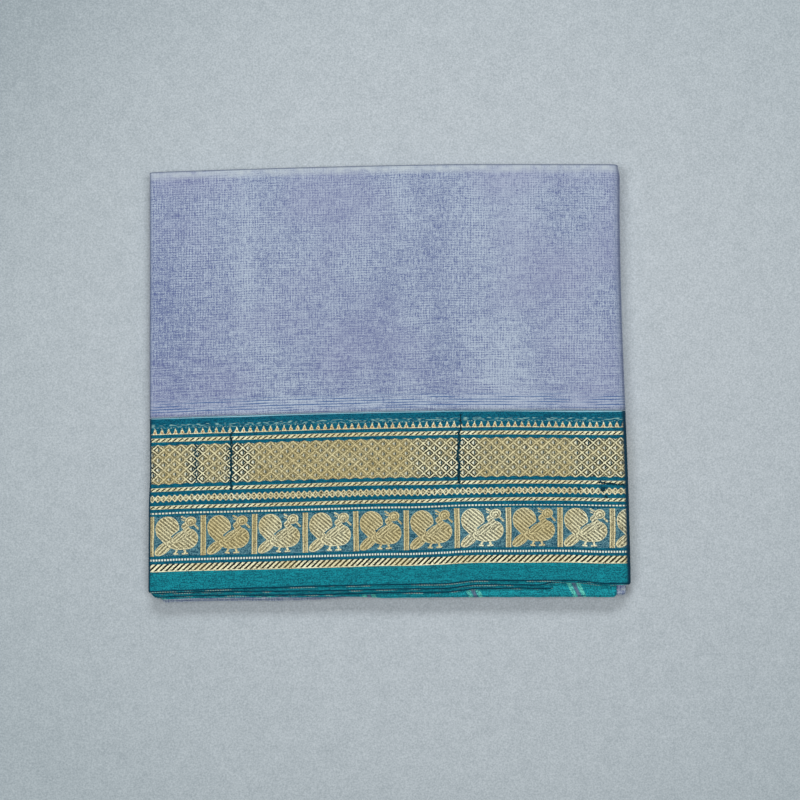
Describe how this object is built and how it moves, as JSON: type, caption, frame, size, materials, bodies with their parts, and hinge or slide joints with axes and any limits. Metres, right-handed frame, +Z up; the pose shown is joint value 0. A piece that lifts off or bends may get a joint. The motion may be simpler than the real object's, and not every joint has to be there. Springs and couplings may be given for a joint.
{
  "type": "folded saree",
  "caption": "Saree folded flat into a rectangular stack of laps, plain body above, brocaded contrast border with a plain selvedge below, staggered laps and a striped end peeking out.",
  "frame": {"origin": "middle of the footprint, on the surface the stack lies on", "axes": "+X along the laps towards the outermost lap's big fold, +Y from the selvedges towards the upper folds, +Z up through the stack"},
  "size_m": [0.3369, 0.3048, 0.0187],
  "materials": {
    "body_cloth": "matt lavender-grey silk cotton with a fine slubbed weave",
    "border_brocade": "gold thread brocade on teal, softly glinting",
    "selvedge_cloth": "plain teal with a slight sheen",
    "pallu_cloth": "plain teal with groups of mint and grey stripes"
  },
  "bodies": {
    "root": {"outer_body": "body_cloth", "outer_border": "border_brocade", "under_lap": "selvedge_cloth", "tucked_end": "selvedge_cloth", "inner_laps": "body_cloth", "pallu_lap": "pallu_cloth", "back_fold": "body_cloth"}
  },
  "joints": []
}
